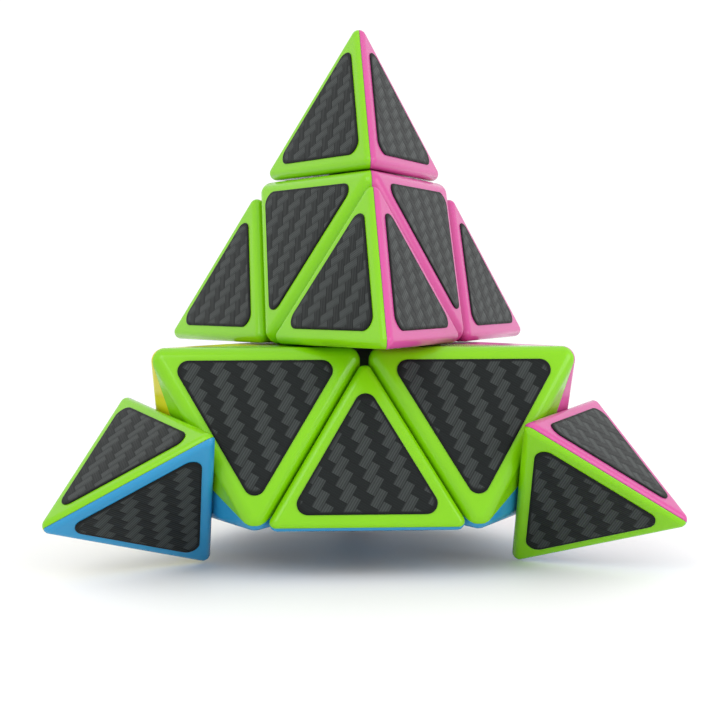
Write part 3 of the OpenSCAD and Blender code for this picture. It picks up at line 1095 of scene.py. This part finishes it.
def spring_tree():
    """Geometry nodes that wind a wire into a coil on each point."""
    tree = bpy.data.node_groups.new("Springs", "GeometryNodeTree")
    inputs = tree.interface
    inputs.new_socket("Geometry", in_out="INPUT", socket_type="NodeSocketGeometry")
    inputs.new_socket("Turns", in_out="INPUT", socket_type="NodeSocketFloat")
    for name in ("Coil Radius", "Wire Radius", "Height", "Foot"):
        inputs.new_socket(name, in_out="INPUT", socket_type="NodeSocketFloat")
    inputs.new_socket("Steel", in_out="INPUT", socket_type="NodeSocketMaterial")
    inputs.new_socket("Geometry", in_out="OUTPUT", socket_type="NodeSocketGeometry")
    nodes = Nodes(tree)
    points, turns, coil, wire, height, foot, steel, _ = nodes.several(nodes.add("NodeGroupInput"))
    spiral = nodes.add(
        "GeometryNodeCurveSpiral", None,
        {
            "Resolution": 28, "Rotations": turns, "Start Radius": coil, "End Radius": coil,
            "Height": height - 2 * wire,
        },
    )
    profile = nodes.add(
        "GeometryNodeCurvePrimitiveCircle", None, {"Resolution": WIRE_SIDES, "Radius": wire}
    )
    wound = nodes.add(
        "GeometryNodeCurveToMesh", None,
        {"Curve": spiral, "Profile Curve": profile, "Fill Caps": True},
    )
    lift = nodes.add("ShaderNodeCombineXYZ", None, {2: foot + wire})
    wound = nodes.add("GeometryNodeTransform", None, {"Geometry": wound, "Translation": lift})
    facing = stored_facing(nodes)
    set_out = nodes.add(
        "GeometryNodeInstanceOnPoints", None,
        {"Points": points, "Instance": wound, "Rotation": facing},
    )
    set_out = nodes.add("GeometryNodeRealizeInstances", None, {"Geometry": set_out})
    set_out = nodes.add("GeometryNodeSetMaterial", None, {"Geometry": set_out, "Material": steel})
    nodes.add("NodeGroupOutput", None, {0: set_out})
    return tree


class PUZZLE_OT_springs(bpy.types.Operator):
    """Winds the tension spring on each of the four screws"""

    bl_idname = "puzzle.springs"
    bl_label = "Springs"

    def execute(self, context):
        settings = context.scene.puzzle_mechanism
        steel = plated_steel(settings.steel_tone)
        made = frame_points(list(CORNERS.values()), "spring_points")
        values = {
            "Turns": float(settings.spring_turns), "Coil Radius": settings.spring_radius,
            "Wire Radius": settings.wire_radius, "Height": settings.spring_length,
            "Foot": settings.spring_bottom, "Steel": steel,
        }
        add_tree(made, spring_tree(), values)
        data = applied(made)
        drop(made)
        mesh = bmesh.new()
        mesh.from_mesh(data)
        bmesh.ops.recalc_face_normals(mesh, faces=mesh.faces)
        mesh.to_mesh(data)
        mesh.free()
        smooth(data, 50)
        show(data, "wound_tension_springs", "tension_springs", steel)
        return {"FINISHED"}


class PUZZLE_OT_inner_parts(bpy.types.Operator):
    """Finishes the core, frames, feet, tip bases, screws and washers"""

    bl_idname = "puzzle.inner_parts"
    bl_label = "Inner parts"

    def execute(self, context):
        settings = context.scene.puzzle_mechanism
        dark = frame_plastic(settings.frame_tone)
        steel = bpy.data.materials.get("plated_steel") or plated_steel(settings.steel_tone)
        for name, node in frame["nodes"].items():
            if name in ("axis_screws", "spring_washers"):
                link_finish(node, steel)
            elif name == "core" or name.endswith(("_frame", "_foot", "_base")):
                link_finish(node, dark)
        return {"FINISHED"}


def area_light(name, place, aim, power, size, tone=(1, 1, 1)):
    """A soft square light that looks at a point."""
    light = bpy.data.lights.new(name, "AREA")
    light.shape = "SQUARE"
    light.size = size
    light.energy = power
    light.color = tone
    made = bpy.data.objects.new(name, light)
    made.location = place
    made.rotation_euler = (Vector(place) - Vector(aim)).to_track_quat("Z", "Y").to_euler()
    bpy.context.scene.collection.objects.link(made)


class PUZZLE_OT_stage(bpy.types.Operator):
    """Sets the pale floor, the soft lights and the camera"""

    bl_idname = "puzzle.stage"
    bl_label = "Stage"

    def execute(self, context):
        settings = context.scene.puzzle_stage
        ground = CAD_BOX[0][2]
        mesh = bmesh.new()
        place = Matrix.Translation((0, 0, ground))
        bmesh.ops.create_grid(
            mesh, x_segments=8, y_segments=8, size=settings.floor_size / 2, matrix=place
        )
        floor = temporary(mesh, "floor")
        floor.data.materials.append(floor_finish(settings.floor_tone))

        world = bpy.data.worlds.new("white_room")
        context.scene.world = world
        world.use_nodes = True
        world.node_tree.nodes.clear()
        nodes = Nodes(world.node_tree)
        white = {"Color": (1, 1, 1, 1), "Strength": settings.sky}
        sky = nodes.add("ShaderNodeBackground", None, white)
        nodes.add("ShaderNodeOutputWorld", None, {"Surface": sky})
        area_light("key", KEY_PLACE, ORIGIN, settings.key_power, KEY_SIZE)
        area_light("fill", FILL_PLACE, ORIGIN, settings.fill_power, FILL_SIZE)

        azimuth, elevation = radians(settings.azimuth), radians(settings.elevation)
        level = cos(elevation)
        back = Vector((sin(azimuth) * level, -cos(azimuth) * level, sin(elevation)))
        camera = bpy.data.cameras.new("camera")
        camera.lens = settings.lens
        camera.sensor_width = SENSOR_WIDTH
        camera.clip_start = 0.01
        made = bpy.data.objects.new("camera", camera)
        aim = Vector((0, 0, settings.aim_height))
        roll = Matrix.Rotation(radians(-settings.roll), 4, "Z")
        facing = back.to_track_quat("Z", "Y").to_matrix().to_4x4()
        made.matrix_world = Matrix.Translation(aim + back * settings.distance) @ facing @ roll
        context.scene.collection.objects.link(made)
        context.scene.camera = made
        context.scene.view_settings.view_transform = "Standard"
        return {"FINISHED"}


# ---- panel and registration ----

OPERATORS = (
    PUZZLE_OT_stage,
    PUZZLE_OT_axial_shells,
    PUZZLE_OT_tip_shells,
    PUZZLE_OT_edge_shells,
    PUZZLE_OT_stickers,
    PUZZLE_OT_springs,
    PUZZLE_OT_inner_parts,
)
SETTINGS = {
    "puzzle_shells": ShellSettings,
    "puzzle_stickers": StickerSettings,
    "puzzle_mechanism": MechanismSettings,
    "puzzle_stage": StageSettings,
}


class PUZZLE_PT_panel(bpy.types.Panel):
    """Lists the puzzle's pieces with their sizes and colours"""

    bl_idname = "PUZZLE_PT_panel"
    bl_label = "Pyramid Twisty Puzzle"
    bl_space_type = "VIEW_3D"
    bl_region_type = "UI"
    bl_category = "Puzzle"

    def draw(self, context):
        for operator in OPERATORS:
            self.layout.operator(operator.bl_idname)
        for name, group in SETTINGS.items():
            box = self.layout.box()
            box.label(text=group.__doc__)
            for prop in group.__annotations__:
                box.prop(getattr(context.scene, name), prop)


def register():
    for group in (*SETTINGS.values(), *OPERATORS, PUZZLE_PT_panel):
        bpy.utils.register_class(group)
    for name, group in SETTINGS.items():
        setattr(bpy.types.Scene, name, PointerProperty(type=group))


def unregister():
    for name in SETTINGS:
        delattr(bpy.types.Scene, name)
    for group in (PUZZLE_PT_panel, *OPERATORS, *SETTINGS.values()):
        bpy.utils.unregister_class(group)


def main():
    register()
    for operator in OPERATORS:
        group, name = operator.bl_idname.split(".")
        getattr(getattr(bpy.ops, group), name)()


if __name__ == "__main__":
    main()
